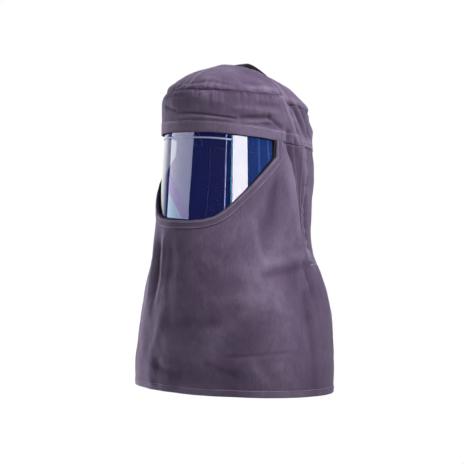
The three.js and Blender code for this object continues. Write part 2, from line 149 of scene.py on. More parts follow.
# Creases that run across the cloth: first and last angle, drops there as shares of the hood's drop,
# rise and half width in millimetres
crossFolds = [
    (-6, 50, .176, .197, -1.9, 1.6), (-6, 52, .187, .207, 1.4, 2.8), (46, 77, .195, .18, -3, 3.8),
    (72, 88, .18, .212, -2.8, 4.6), (50, 80, .206, .192, 1.8, 3), (58, 84, .208, .23, -1.8, 2),
    (40, 84, .166, .163, 1.6, 4.5), (60, 86, .15, .142, -1.2, 4),
    (-26, -4, .15, .172, -1.8, 3), (-32, 6, .126, .13, -1.6, 4), (10, 40, .14, .15, 1, 6),
    (0, 28, .094, .086, -1.9, 3.2), (26, 50, .089, .102, -2.1, 3), (12, 34, .078, .083, 1.5, 4),
    (-28, -6, .1, .068, 1.3, 3), (-20, 2, .106, .084, -1.4, 2.6), (50, 80, .086, .074, -1.5, 4),
    (56, 86, .101, .092, 1.3, 3.6), (114, 54, .61, .652, -3.4, 7), (104, 58, .586, .618, 2, 8),
    (106, 80, .652, .7, 2.2, 7), (-18, 8, .915, .952, -2, 9), (16, 38, .905, .948, -2, 9),
    (28, 74, .884, .866, -.9, 3), (-12, 30, .8, .785, -1.4, 9), (20, 60, .73, .71, 1.4, 12),
    (-90, -50, .19, .18, -2, 2.6), (-50, -20, .2, .19, 1.4, 2.6), (130, 170, .32, .35, -2, 6),
    (190, 236, .36, .33, -2.2, 6), (150, 200, .46, .47, 1.8, 8), (-112, -60, .612, .65, -3, 7),
]


def mix(a, b, share):
    return a + (b - a) * share


def smooth(value, low, high):
    share = np.clip((value - low) / (high - low), 0, 1)
    return share * share * (3 - 2 * share)


def bump(distance, width):
    return np.exp(-(distance / width) ** 2)


def tableValue(table, column, at):  # a smooth curve through one column of a table
    keys, values = np.array(table["drop"], float), np.array(table[column], float)
    last = len(keys) - 1
    before, after = np.maximum(np.arange(last + 1) - 1, 0), np.minimum(np.arange(last + 1) + 1, last)
    slope = (values[after] - values[before]) / (keys[after] - keys[before])
    k = np.clip(np.searchsorted(keys, at, side="left") - 1, 0, last - 1)
    step = keys[k + 1] - keys[k]
    s = np.clip((at - keys[k]) / step, 0, 1)
    start = (1 + 2 * s) * (1 - s) ** 2 * values[k] + s * (1 - s) ** 2 * step * slope[k]
    return start + s * s * (3 - 2 * s) * values[k + 1] + s * s * (s - 1) * step * slope[k + 1]


def domeShare(drop):
    left = 1 - np.clip(drop / hoodCut["domeDepth"], 0, 1)
    return (1 - left ** hoodCut["roundness"]) ** (1 / hoodCut["roundness"])


def domeDrop(share):
    power = hoodCut["roundness"]
    return hoodCut["domeDepth"] * (1 - (1 - share ** power) ** (1 / power))


def belowDome(drop):  # 0 at the dome's foot, 1 at the hem
    return np.maximum(0, (drop - hoodCut["domeDepth"]) / (hoodCut["drop"] - hoodCut["domeDepth"]))


def plainForm(around, drop):  # the hood's outer face without its folds
    around, drop = np.broadcast_arrays(np.asarray(around, float), np.asarray(drop, float))
    below = belowDome(drop)
    flare = tableValue(sections, "flare", below)
    side, ahead = np.sin(np.radians(around)), np.cos(np.radians(around))
    power = 2 / tableValue(sections, "square", below)
    turned = smooth(-ahead, hoodCut["rearStart"], 1)
    behind = mix(tableValue(sections, "back", below), tableValue(sections, "rear", below), turned)
    reach = np.where(ahead > 0, tableValue(sections, "front", below), behind)
    reach = reach * mix(hoodCut["headDepth"], hoodCut["hemDepth"], flare)
    half = mix(hoodCut["headWidth"], hoodCut["hemWidth"], flare) / 2
    x = half * np.sign(side) * np.abs(side) ** power * domeShare(drop)
    forward = reach * np.sign(ahead) * np.abs(ahead) ** power * domeShare(drop)
    z = hoodCut["cloth"] - drop + tableValue(sections, "lean", below) * forward
    return np.stack([x, -forward, z], -1)


def outward(form, around, drop):
    turn, fall = 0.4, np.minimum(0.5, drop / 4)
    along = form(around + turn, drop) - form(around - turn, drop)
    down = form(around, drop + fall) - form(around, drop - fall)
    normal = np.cross(down, along)
    return normal / np.maximum(np.linalg.norm(normal, axis=-1, keepdims=True), 1e-9)


def raisedFrom(form, around, drop, height):
    return form(around, drop) + outward(form, around, drop) * height


def sideSag(around):  # the head's seams and edges hang lower on the wearer's left
    return hoodCut["sideDrop"] * np.sin(np.radians(around))


def softNoise(x, y, seed):  # smooth noise from -1 to 1 over a grid of one unit
    values = np.random.RandomState(seed).uniform(-1, 1, (64, 64))
    x, y = np.asarray(x, float), np.asarray(y, float)
    i, j = np.floor(x).astype(int), np.floor(y).astype(int)
    s, t = x - i, y - j
    s, t = s * s * (3 - 2 * s), t * t * (3 - 2 * t)
    at = [values[(i + di) % 64, (j + dj) % 64] for di, dj in ((0, 0), (1, 0), (0, 1), (1, 1))]
    return mix(mix(at[0], at[1], s), mix(at[2], at[3], s), t)


def seamWave(around, seed):  # sewn edges never run quite straight
    fine = softNoise(around / 2.3 + 160, around * 0, seed + 1)
    return softNoise(around / 6 + 60, around * 0, seed) + 0.5 * fine


def frontSeam(around):
    turned = 1 - np.maximum(np.cos(np.radians(around)), 0)
    level = mix(hoodCut["crownFront"], hoodCut["crownSide"], turned ** 2)
    return level + sideSag(around) + sewnCut["seamWave"] * seamWave(around, 51)


def rearSeam(around):
    turned = np.maximum(-np.cos(np.radians(around)), 0)
    return mix(hoodCut["rearSide"], hoodCut["rearBack"], turned) + sideSag(around)


def browEdge(around):
    level = mix(hoodCut["browFront"], hoodCut["browBack"], (1 - np.cos(np.radians(around))) / 2)
    return level + sideSag(around) + sewnCut["browWave"] * seamWave(around, 55)


def headSeam(side, drop):  # the side seam's angle, which leans back from the crown to the brow edge
    top, foot = frontSeam(side * hoodCut["bandTop"]), browEdge(side * hoodCut["bandFoot"])
    return mix(hoodCut["bandTop"], hoodCut["bandFoot"], np.clip((drop - top) / (foot - top), 0, 1))


def crownSeam(around, drop):  # it steps down to the rear band at the side seams
    turned = wrapped(around)
    front = np.abs(turned) < headSeam(np.sign(turned), drop)
    return np.where(front, frontSeam(around), rearSeam(around))


def openingLow(around):
    share = np.abs(around) / hoodCut["openAngle"]
    keys, lows = openingEdge["around"], openingEdge["low"]
    beyond = (lows[-2] - lows[-1]) / (keys[-1] - keys[-2]) * np.maximum(share - keys[-1], 0)
    low = np.interp(share, keys, lows) - beyond
    return hoodCut["browFront"] + sideSag(around) + hoodCut["openDrop"] * low


def wrapped(angle):
    return (angle + 180) % 360 - 180


def girthAt(drop):  # millimetres round the hood for one degree
    flare = tableValue(sections, "flare", belowDome(drop))
    size = mix(hoodCut["headWidth"] + hoodCut["headDepth"], hoodCut["hemWidth"] + hoodCut["hemDepth"], flare)
    return np.radians(1) * size / 4 * domeShare(drop)


def angleOf(length, drop):
    return np.degrees(length / (domeShare(np.asarray(drop, float)) * headRadius))


def evenArch(s):  # a fold that is highest at its middle
    return np.sin(np.pi * s)


def quickStart(s):  # a fold that starts at a seam and runs out slowly
    return smooth(s, 0, 0.14) * (1 - smooth(s, 0.45, 1))


def foldLine(folds, around, drop, along):
    height = np.zeros(np.broadcast(around, drop).shape)
    for top, foot, start, end, spread, rise in folds:
        s = np.clip((drop / hoodCut["drop"] - start) / (end - start), 0, 1)
        off = wrapped(around - mix(top, foot, s))
        height += rise * along(s) * bump(off, spread)
    return height


def crossLine(around, drop):
    height = np.zeros(np.broadcast(around, drop).shape)
    for first, last, start, end, rise, spread in crossFolds:
        turned = around % 360 if first > hoodCut["sideSeam"] + 10 else wrapped(around)
        s = np.clip((turned - first) / (last - first), 0, 1)
        off = drop - hoodCut["drop"] * mix(start, end, s)
        height += rise * smooth(s, 0, 0.16) * (1 - smooth(s, 0.84, 1)) * bump(off, spread)
    return height


def calmed(around, drop):  # folds die out near the opening and the visor behind it
    past = np.abs(wrapped(around)) - hoodCut["openAngle"] - angleOf(visorCut["lap"] / 2, hoodCut["browFront"])
    under = drop - openingLow(wrapped(around)) - visorCut["lap"]
    above = browEdge(around) - visorCut["tuck"] - drop
    beside = np.maximum(smooth(past, 0, hoodCut["calmAngle"]), smooth(under, 0, hoodCut["calmDrop"]))
    return np.maximum(beside, smooth(above, 0, visorCut["tuck"]))


def layeredNoise(x, y, seed):
    return (softNoise(x, y, seed) + 0.5 * softNoise(2.1 * x, 2.1 * y, seed + 1)
            + 0.25 * softNoise(4.3 * x, 4.3 * y, seed + 2)) / 1.75


# How the cloth shows its sewing: puckers, felled seams and turned hems, in millimetres
sewnCut = {
    "groove": 0.9, "grooveWidth": 1.1, "fell": 9, "fellRise": 0.7, "pucker": 0.8, "puckerReach": 12,
    "hem": 10.5, "hemRise": 0.8, "browHem": 16, "wrinkle": 1.25,
    "pinch": 5, "pinchDepth": 0.9, "pinchWave": 0.8,
    "seamWave": 0.8, "browWave": 0.35, "fellEdge": 1.5, "slitHem": 8, "underLap": 0.7,
}


def grooved(distance):
    return -sewnCut["groove"] * bump(distance, sewnCut["grooveWidth"])


def felled(distance):  # the doubled cloth beside a seam, on the side where the distance is above 0
    width, edge = sewnCut["fell"], sewnCut["fellEdge"]
    return sewnCut["fellRise"] * smooth(distance, 0, edge) * (1 - smooth(distance, width, width + edge))


def puckered(along, distance, seed, wave=8.0):
    ripples = softNoise(along / wave, distance / 40 + 7, seed)
    ripples = ripples + 0.5 * softNoise(along / wave * 2.3, distance / 30, seed + 5)
    return sewnCut["pucker"] * ripples * np.exp(-np.abs(distance) / sewnCut["puckerReach"])


def wrinkles(around, drop, seed=11):
    along = wrapped(around) * girthAt(drop)
    bend = 14 * softNoise(along / 70, drop / 70, seed + 3)
    broad = layeredNoise((along + bend) / 34, (drop - bend) / 56, seed)
    slant, fall = (along + 0.4 * drop + bend) / 44, (drop - 0.3 * along) / 70
    crease = 0.4 - 2 * np.abs(layeredNoise(slant, fall, seed + 9))
    fine = softNoise(along / 6, drop / 10, seed + 14)
    return sewnCut["wrinkle"] * (broad + 0.45 * crease + 0.1 * fine)


def seamHeight(around):  # where crown and band are sewn together
    return sewnCut["pinchWave"] * softNoise(wrapped(around) / 4, around * 0, 61) - sewnCut["pinchDepth"]


def crownRelief(around, drop):
    x, y, _ = np.moveaxis(plainForm(around, drop), -1, 0)
    broad = layeredNoise(x / 30 + 20, y / 34 + 20, 31)
    crease = 0.4 - 2 * np.abs(layeredNoise((x - y) / 44 + 20, y / 60 + 20, 35))
    height = 1.7 * sewnCut["wrinkle"] * (broad + 0.5 * crease)
    girth = girthAt(drop)
    for seam in crownSeams:
        off = wrapped(around - seam) * girth
        height += grooved(off) + felled(off) + felled(-off) * 0.4
        height += 0.7 * puckered(drop, off, 40 + seam)
    above = crownSeam(around, drop) - drop
    along = wrapped(around) * headDegree
    height += 2.4 * puckered(along, above, 61, 9)
    height += 1.6 * bump(above - 9, 6) * (0.75 + 0.5 * softNoise(along / 17, above * 0, 66))
    return mix(seamHeight(around), height, smooth(above, 0, sewnCut["pinch"]))


def bandRelief(around, drop):
    girth = girthAt(drop)
    along = wrapped(around) * headDegree
    under = drop - crownSeam(around, drop)
    above = browEdge(around) - drop
    height = 0.9 * wrinkles(around, drop, 71) * smooth(above, 12, 22) + 0.8 * grooved(under)
    gathers = softNoise(along / 7, under / 60, 77) + 0.6 * softNoise(along / 3.4, under / 50, 78)
    height += 1.7 * gathers * np.exp(-under / 15) * smooth(under, 0, 4)
    height -= 1.2 * bump(under, 4)
    for seam in (1, -1):
        off = wrapped(around - seam * headSeam(seam, drop)) * girth * seam
        height += grooved(off) + 1.6 * felled(-off) + felled(off) + puckered(drop, off, 83)
    turned = 1 - smooth(above, sewnCut["browHem"] - 1.2, sewnCut["browHem"] + 1.2)
    height += sewnCut["hemRise"] * turned + 0.25 * puckered(along, above - sewnCut["browHem"], 91)
    height -= 0.35 * bump(above - sewnCut["browHem"] + 2, 0.9)
    return mix(seamHeight(around), height, smooth(under, 0, sewnCut["pinch"]))


def slitShare(drop):  # 0 at the slit's top, 1 at the hem
    return np.clip((drop - hoodCut["slitTop"]) / (hoodCut["drop"] - hoodCut["slitTop"]), 0, 1)


def seamAngle(drop):  # the side seam, and below its end the front drape's free edge
    half = hoodCut["slitTurn"] / 2
    opened = smooth(drop, hoodCut["slitTop"] - half, hoodCut["slitTop"] + half)
    edge = mix(hoodCut["slitAngleTop"], hoodCut["slitAngleFoot"], slitShare(drop))
    return mix(hoodCut["sideSeam"], edge, opened)


def slitHalf(drop):
    return angleOf((hoodCut["seam"] + hoodCut["slitSpread"] * slitShare(drop)) / 2, hoodCut["drop"])


def beforeSeam(around, drop):  # millimetres in front of the side seam, below 0 behind it
    return (seamAngle(drop) - np.abs(wrapped(around))) * girthAt(drop)


def drapeRelief(around, drop):
    turned = wrapped(around)
    along = turned * headDegree
    under = drop - browEdge(around)
    height = 1.4 * wrinkles(around, drop, 101)
    nearBrow = np.abs(turned) > hoodCut["openAngle"] - 1
    height += np.where(nearBrow, grooved(under) + 1.2 * puckered(along, under, 111), 0)
    side = beforeSeam(around, drop)
    inSeam = 1 - smooth(drop, hoodCut["slitTop"] - 4, hoodCut["slitTop"] + 4)
    height += inSeam * (grooved(side) + 1.4 * felled(side) + 2.2 * puckered(drop, side, 121, 7))
    edge = np.abs(side) - slitHalf(drop) * girthAt(drop)
    height += 0.5 * (1 - inSeam) * (1 - smooth(edge, sewnCut["slitHem"] - 1, sewnCut["slitHem"] + 1))
    hem = hoodCut["drop"] - drop
    height += sewnCut["hemRise"] * (1 - smooth(hem, sewnCut["hem"] - 1, sewnCut["hem"] + 1.5))
    line = hem - sewnCut["hem"]
    return height - 0.5 * bump(line, 1.0) + 0.7 * puckered(along, line, 131, 14)


def backRelief(around, drop):  # the back drape passes under the front one's lap
    lapped = bump(beforeSeam(around, drop), 2.2) * (drop < hoodCut["slitTop"])
    return drapeRelief(around, drop) - sewnCut["underLap"] * lapped


def clothHeight(around, drop, relief):  # folds, then the sewing's own relief, in millimetres
    calm = calmed(around, drop)
    folds = hoodCut["foldRise"] * foldLine(mainFolds, around, drop, evenArch)
    folds = folds + foldLine(fineFolds, around, drop, quickStart)
    quiet = mix(0.3, 1, calm) if relief is drapeRelief else 1
    return calm * (folds + crossLine(around, drop)), quiet * relief(around, drop)


def clothPoint(around, drop, relief, lift=0.0):
    folds, soft = clothHeight(around, drop, relief)
    return raisedFrom(plainForm, around, drop, np.asarray(folds + soft + lift)[..., None])


def paintedFoldShade(around, drop, relief):  # painted shade in the hollows of folds and sewing, painted highlight on their ridges
    folds, soft = clothHeight(around, drop, relief)
    return np.clip(clothLook["paintedFoldShade"] * folds + clothLook["paintedSewingShade"] * soft, -0.35, 0.35)


# Materials

def shaderTree(name):
    material = bpy.data.materials.new(name)
    material.use_nodes = True
    tree = material.node_tree
    return material, tree, tree.nodes["Principled BSDF"]


def addNode(tree, kind, **values):
    node = tree.nodes.new(kind)
    for name, value in values.items():
        if hasattr(node, name):
            setattr(node, name, value)
        else:
            node.inputs[name].default_value = value
    return node


def mathNode(tree, operation, *values):
    node = tree.nodes.new("ShaderNodeMath")
    node.operation = operation
    for socket, value in zip(node.inputs, values):
        if isinstance(value, bpy.types.NodeSocket):
            tree.links.new(value, socket)
        else:
            socket.default_value = value
    return node.outputs[0]


def plus(tree, first, second):
    return mathNode(tree, "ADD", first, second)


def times(tree, first, second):
    return mathNode(tree, "MULTIPLY", first, second)


def newGroup(name, inputs, outputs):
    group = bpy.data.node_groups.new(name, "ShaderNodeTree")
    for label, kind, value in inputs:
        socket = group.interface.new_socket(name=label, in_out="INPUT", socket_type="NodeSocket" + kind)
        if value is not None:
            socket.default_value = value
    for label, kind in outputs:
        group.interface.new_socket(name=label, in_out="OUTPUT", socket_type="NodeSocket" + kind)
    return group, group.nodes.new("NodeGroupInput"), group.nodes.new("NodeGroupOutput")


def makeTwill():  # diagonal ribs crossed by single threads, on the cloth's own UV in metres
    group, inside, out = newGroup("twillWeave", [
        ("Vector", "Vector", None), ("Rib", "Float", 0.0011), ("Slub", "Float", 0.4),
    ], [("Height", "Float"), ("Thread", "Float")])
    link = group.links.new
    split = group.nodes.new("ShaderNodeSeparateXYZ")
    link(inside.outputs["Vector"], split.inputs[0])
    slant = plus(group, split.outputs["X"], split.outputs["Y"])
    ribs = []
    for way, turns in ((slant, 2 * math.pi), (split.outputs["Y"], 4 * math.pi)):
        share = mathNode(group, "DIVIDE", way, inside.outputs["Rib"])
        ribs.append(mathNode(group, "SINE", times(group, share, turns)))
    weave = plus(group, times(group, ribs[0], 0.35), times(group, ribs[1], 0.12))
    slub = addNode(group, "ShaderNodeTexNoise", Scale=1400.0, Detail=2.0)
    link(inside.outputs["Vector"], slub.inputs["Vector"])
    uneven = times(group, slub.outputs["Fac"], inside.outputs["Slub"])
    link(plus(group, plus(group, weave, 0.5), uneven), out.inputs["Height"])
    link(plus(group, times(group, weave, 0.5), 0.5), out.inputs["Thread"])
    return group


def makeFade():  # broad and fine unevenness of a washed dye
    group, inside, out = newGroup("dyeFade", [
        ("Vector", "Vector", None), ("Scale", "Float", 9.0), ("Amount", "Float", 0.75),
    ], [("Fade", "Float")])
    link = group.links.new
    broad = addNode(group, "ShaderNodeTexNoise", Detail=3.0, Roughness=0.6)
    link(inside.outputs["Vector"], broad.inputs["Vector"])
    link(inside.outputs["Scale"], broad.inputs["Scale"])
    drawn = addNode(group, "ShaderNodeMapping", Scale=(1, 1, 0.3))
    link(inside.outputs["Vector"], drawn.inputs["Vector"])
    fine = addNode(group, "ShaderNodeTexNoise", Scale=420.0, Detail=3.0)
    link(drawn.outputs[0], fine.inputs["Vector"])
    both = plus(group, times(group, plus(group, broad.outputs["Fac"], -0.5), 1.2),
                times(group, plus(group, fine.outputs["Fac"], -0.5), 0.5))
    link(times(group, both, inside.outputs["Amount"]), out.inputs["Fade"])
    return group


twillWeave, dyeFade = makeTwill(), makeFade()


def colourRamp(tree, value, stops):
    ramp = tree.nodes.new("ShaderNodeValToRGB")
    while len(ramp.color_ramp.elements) < len(stops):
        ramp.color_ramp.elements.new(0.5)
    for element, (place, colour) in zip(ramp.color_ramp.elements, stops):
        element.position, element.color = place, colour
    tree.links.new(value, ramp.inputs[0])
    return ramp.outputs[0]


def dyeBy(tree, shader, value, stops):
    tree.links.new(colourRamp(tree, value, stops), shader.inputs["Base Color"])


def setSockets(shader, values):
    for name, value in values.items():
        shader.inputs[name].default_value = value


def fadeOver(tree, scale):  # the object's own place, and the dye's fade there
    place = tree.nodes.new("ShaderNodeTexCoord").outputs["Object"]
    fade = addNode(tree, "ShaderNodeGroup", node_tree=dyeFade)
    fade.inputs["Scale"].default_value = scale
    tree.links.new(place, fade.inputs["Vector"])
    return place, fade.outputs["Fade"]


def weaveOver(tree):
    weave = addNode(tree, "ShaderNodeGroup", node_tree=twillWeave)
    uv = addNode(tree, "ShaderNodeUVMap", uv_map="weave")
    tree.links.new(uv.outputs[0], weave.inputs["Vector"])
    return weave


def raiseBy(tree, shader, height, strength, depth):
    relief = addNode(tree, "ShaderNodeBump", Strength=strength, Distance=depth)
    tree.links.new(height, relief.inputs["Height"])
    tree.links.new(relief.outputs[0], shader.inputs["Normal"])


# The palest colour is reached by the dye's fade and by painted highlights, the darkest by the fade and by
# painted shade; the fold and relief tones set how much painted shade and highlight the folds and sewing give
clothLook = {
    "deep": (0.062, 0.041, 0.077), "mid": (0.125, 0.089, 0.152), "paleAndLit": (0.235, 0.187, 0.28),
    "fade": 9, "thread": 0.25, "rough": 0.88, "threadRough": 0.08, "weave": 0.00014,
    "paintedFoldShade": 0.085, "paintedSewingShade": 0.13,
}
clothSockets = {
    "Sheen Weight": 0.2, "Sheen Roughness": 0.45, "Sheen Tint": (0.85, 0.78, 0.95, 1),
    "Specular IOR Level": 0.25,
}


def clothMaterial(name, tint=1.0):
    material, tree, shader = shaderTree(name)
    weave = weaveOver(tree)
    _, fade = fadeOver(tree, clothLook["fade"])
    # this attribute carries painted light and shade, added to the dye's fade: darker in hollows and seams,
    # lighter on ridges and hems
    paintedShading = addNode(tree, "ShaderNodeAttribute", attribute_name="paintedShading")
    tone = plus(tree, plus(tree, 0.5, fade), paintedShading.outputs["Fac"])
    tone = plus(tree, tone, times(tree, plus(tree, weave.outputs["Thread"], -0.5), clothLook["thread"]))
    dyes = {0: "deep", 0.5: "mid", 1: "paleAndLit"}
    stops = [(at, [c * tint for c in clothLook[dye]] + [1]) for at, dye in dyes.items()]
    dyeBy(tree, shader, tone, stops)
    shine = times(tree, weave.outputs["Thread"], clothLook["threadRough"])
    tree.links.new(plus(tree, clothLook["rough"], shine), shader.inputs["Roughness"])
    raiseBy(tree, shader, weave.outputs["Height"], 0.6, clothLook["weave"])
    setSockets(shader, clothSockets)
    return material


threadLook = {"fade": 60, "low": (0.27, 0.23, 0.31, 1), "high": (0.44, 0.39, 0.49, 1)}


def threadMaterial():
    material, tree, shader = shaderTree("sewingThread")
    _, fade = fadeOver(tree, threadLook["fade"])
    dyeBy(tree, shader, plus(tree, 0.5, fade), [(0.2, threadLook["low"]), (0.8, threadLook["high"])])
    setSockets(shader, {"Roughness": 0.6, "Sheen Weight": 0.3})
    return material


reverseShadeLook = {"low": (0.002, 0.002, 0.012, 1), "high": (0.004, 0.004, 0.024, 1)}


def reverseShadeMaterial():  # the cloth's darker reverse, drawn near black as painted shade for the hood's dim inside
    material, tree, shader = shaderTree("twillReverseShade")
    thread = weaveOver(tree).outputs["Thread"]
    dyeBy(tree, shader, thread, [(0.2, reverseShadeLook["low"]), (0.8, reverseShadeLook["high"])])
    setSockets(shader, {"Roughness": 0.95, "Specular IOR Level": 0.1})
    return material


grainLook = {"fade": 25, "roughChange": 0.3, "strength": 0.5}


def plainGrain(name, low, high, rough, scale=300.0, depth=0.00006):  # moulded or woven small parts
    material, tree, shader = shaderTree(name)
    place, fade = fadeOver(tree, grainLook["fade"])
    dyeBy(tree, shader, plus(tree, 0.5, fade), [(0.15, low), (0.85, high)])
    uneven = plus(tree, rough, times(tree, fade, grainLook["roughChange"]))
    tree.links.new(uneven, shader.inputs["Roughness"])
    grain = addNode(tree, "ShaderNodeTexNoise", Scale=scale, Detail=3.0)
    tree.links.new(place, grain.inputs["Vector"])
    raiseBy(tree, shader, grain.outputs["Fac"], grainLook["strength"], depth)
    return material


visorLook = {"fade": 14, "rough": 0.015, "haze": 0.03}
visorSockets = {
    "Base Color": (0.67, 0.685, 0.72, 1), "Transmission Weight": 0.985, "IOR": 1.58,
    "Specular IOR Level": 0.9, "Specular Tint": (0.35, 0.45, 1, 1),
    "Coat Weight": 1, "Coat Roughness": 0.02, "Coat IOR": 1.6,
}


def visorMaterial():
    material, tree, shader = shaderTree("visorSheet")
    _, fade = fadeOver(tree, visorLook["fade"])
    haze = times(tree, mathNode(tree, "ABSOLUTE", fade), visorLook["haze"])
    tree.links.new(plus(tree, visorLook["rough"], haze), shader.inputs["Roughness"])
    setSockets(shader, visorSockets)
    return material


materials = {
    "cloth": clothMaterial("hoodTwill"),
    "band": clothMaterial("bandTwill", 0.96),
    "hem": clothMaterial("hemTwill", 1.04),
    "reverse": reverseShadeMaterial(),
    "thread": threadMaterial(),
    "visor": visorMaterial(),
    "trim": plainGrain("edgeTrim", (0.004, 0.004, 0.006, 1), (0.012, 0.012, 0.016, 1), 0.6),
    # pale as painted highlight: the rail draws the light line that runs along the visor's top edge
    "rail": plainGrain("railHighlightPale", (0.42, 0.47, 0.62, 1), (0.55, 0.6, 0.75, 1), 0.25),
    # near black as painted shade: the strap draws its shaded underside and the shadow under it
    "strap": plainGrain("strapShadeDark", (0.02, 0.016, 0.026, 1), (0.05, 0.042, 0.06, 1), 0.85, 900.0, 0.0002),
}
print("materials made")


# Cloth pieces: one grid each, laid on the hood's form

def linkPiece(name, mesh, material, replaces=None):
    piece = addObject(name, mesh)
    mesh.materials.append(materials[material])
    mesh.shade_smooth()
    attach(piece, "root")
    if replaces:
        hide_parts(replaces)
    return piece


def gridMesh(name, columns, rows, pointsAt, weaveAt=None, paintedShadingAt=None):
    bm = bmesh.new()
    bmesh.ops.create_grid(bm, x_segments=columns, y_segments=rows, size=0.5)
    mesh = meshOf(name, bm)
    flat = np.empty(len(mesh.vertices) * 3)
    mesh.vertices.foreach_get("co", flat)
    flat = flat.reshape(-1, 3)
    u, v = flat[:, 0] + 0.5, 0.5 - flat[:, 1]
    points = pointsAt(u, v) * mm
    mesh.vertices.foreach_set("co", points.astype(np.float32).ravel())
    if weaveAt:
        corner = np.empty(len(mesh.loops), np.int32)
        mesh.loops.foreach_get("vertex_index", corner)
        layer = mesh.uv_layers.new(name="weave")
        layer.data.foreach_set("uv", (weaveAt(u, v) * mm)[corner].astype(np.float32).ravel())
    # painted light and shade for each point, kept as an attribute for the cloth's colour
    if paintedShadingAt:
        paintedShading = mesh.attributes.new("paintedShading", "FLOAT", "POINT")
        paintedShading.data.foreach_set("value", paintedShadingAt(u, v).astype(np.float32))
    mesh.update()
    return mesh


def thicken(piece, thick):
    wall = piece.modifiers.new("wall", "SOLIDIFY")
    wall.thickness, wall.offset = thick * mm, -1
    return wall


def softenEdges(piece, width):
    soft = piece.modifiers.new("soft", "BEVEL")
    soft.width, soft.segments, soft.limit_method = width * mm, 2, "ANGLE"


def clothPiece(node, steps, place, relief, paintedShading, material="cloth"):  # stands for the solid of that name
    def pointsAt(u, v):
        return clothPoint(*place(u, v), relief)

    def weaveAt(u, v):
        around, drop = place(u, v)
        return np.stack([wrapped(around - 180) * girthAt(drop), -drop], -1)

    # painted light and shade: the piece's own painted shading plus painted shade in fold hollows and painted
    # highlight on fold ridges
    def paintedShadingAt(u, v):
        around, drop = place(u, v)
        return paintedShading(around, drop) + paintedFoldShade(around, drop, relief)

    mesh = gridMesh(node + "_cloth", *steps, pointsAt, weaveAt, paintedShadingAt)
    piece = linkPiece(mesh.name, mesh, material, node)
    piece.data.materials.append(materials["reverse"])
    thicken(piece, hoodCut["cloth"]).material_offset = 1


# Painted light and shade in the cloth's colour: lighter on seam ridges, hems and the lit rear band, darker in
# seam hollows, on the crown's shaded front and towards the bottom
paintedShadingTone = {
    "gores": 0.1, "crownFold": 0.05, "crownFoot": 0.14, "crownFront": 0.08,
    "bandSide": 0.14, "bandRear": 0.12, "bandHem": 0.07, "bandTop": 0.14, "bandFoot": 0.1,
    "side": 0.12, "hem": 0.06, "hemLine": 0.1, "low": 0.04, "lowSides": 0.12,
}


# painted highlights beside the crown seams and on the ridge above the band seam; painted shade in that seam
# and over the crown's front on the wearer's right
def crownPaintedShading(around, drop):
    seamHighlights = sum(bump(np.abs(wrapped(around - seam)) * girthAt(drop) - 3.5, 3) for seam in crownSeams)
    above = crownSeam(around, drop) - drop
    dark = paintedShadingTone["crownFoot"] * bump(above, 2) + paintedShadingTone["crownFront"] * bump(wrapped(around) + 15, 45)
    return paintedShadingTone["gores"] * seamHighlights + paintedShadingTone["crownFold"] * bump(above - 8, 6) - dark


# painted highlights beside the side seams, on the rear band and on the turned brow hem; painted shade along
# the crown seam and the brow edge
def bandPaintedShading(around, drop):
    under, above = drop - crownSeam(around, drop), browEdge(around) - drop
    turned = wrapped(around)
    behind = np.abs(turned) - headSeam(np.sign(turned), drop)
    light = paintedShadingTone["bandSide"] * bump(behind * headDegree + 3, 2.5)
    light += paintedShadingTone["bandRear"] * bump(np.abs(turned) - 122, 18)
    light += paintedShadingTone["bandHem"] * (1 - smooth(above, sewnCut["browHem"] - 2, sewnCut["browHem"] + 1))
    return light - paintedShadingTone["bandTop"] * bump(under, 2) - paintedShadingTone["bandFoot"] * bump(above, 1.5)


# painted highlights beside the side seam and on the hem; painted shade along the hem's sewn line, towards the
# bottom and on the lower sides
def drapePaintedShading(around, drop):
    hem = hoodCut["drop"] - drop
    light = paintedShadingTone["side"] * bump(beforeSeam(around, drop) - 4, 5)
    light += paintedShadingTone["hem"] * (1 - smooth(hem, sewnCut["hem"] - 1.5, sewnCut["hem"] + 1.5))
    sides = bump(np.abs(wrapped(around)) - 92, 24) * smooth(drop, 340, 450)
    dark = paintedShadingTone["low"] * smooth(drop, 430, 520) + paintedShadingTone["lowSides"] * sides
    return light - dark - paintedShadingTone["hemLine"] * bump(hem - sewnCut["hem"], 1)


def goreAt(side, middle):  # from the middle of the crown to the side seam
    seam, turn = (frontSeam, 1) if middle == 0 else (rearSeam, -1)

    def place(u, v):
        share = u if side * turn > 0 else 1 - u
        foot = domeShare(seam(side * mix(middle, hoodCut["bandTop"], share)) - halfSeam)
        drop = domeDrop(mix(0.004, foot, v))
        inset = turn * np.minimum(angleOf(halfSeam, drop), 20)
        return side * mix(middle + inset, headSeam(side, drop) - inset, share), drop
    return place


def bandAt(front):
    seam, turn = (frontSeam, -1) if front else (rearSeam, 1)
    inset = angleOf(halfSeam, hoodCut["browFront"]) * turn

    def dropAt(around, v):
        return mix(seam(around) + halfSeam, browEdge(around) + hoodCut["lap"], v)

    def endAngle(side, v):
        angle = np.full_like(v, hoodCut["bandTop"])
        for _ in range(4):
            angle = headSeam(side, dropAt(side * angle, v))
        return angle + inset

    def place(u, v):
        left, right = endAngle(1, v), endAngle(-1, v)
        around = mix(-right, left, u) if front else mix(left, 360 - right, u)
        return around, dropAt(around, v)
    return place


def runLength(steps):  # how far each point is along, from the steps between them
    return np.concatenate([[0], np.cumsum(steps)])


def edgeLength(around, drop):
    return runLength(np.hypot(np.radians(np.diff(around)) * headRadius, np.diff(drop)))


def columnAt(u, count):
    return np.rint(u * (count - 1)).astype(int)


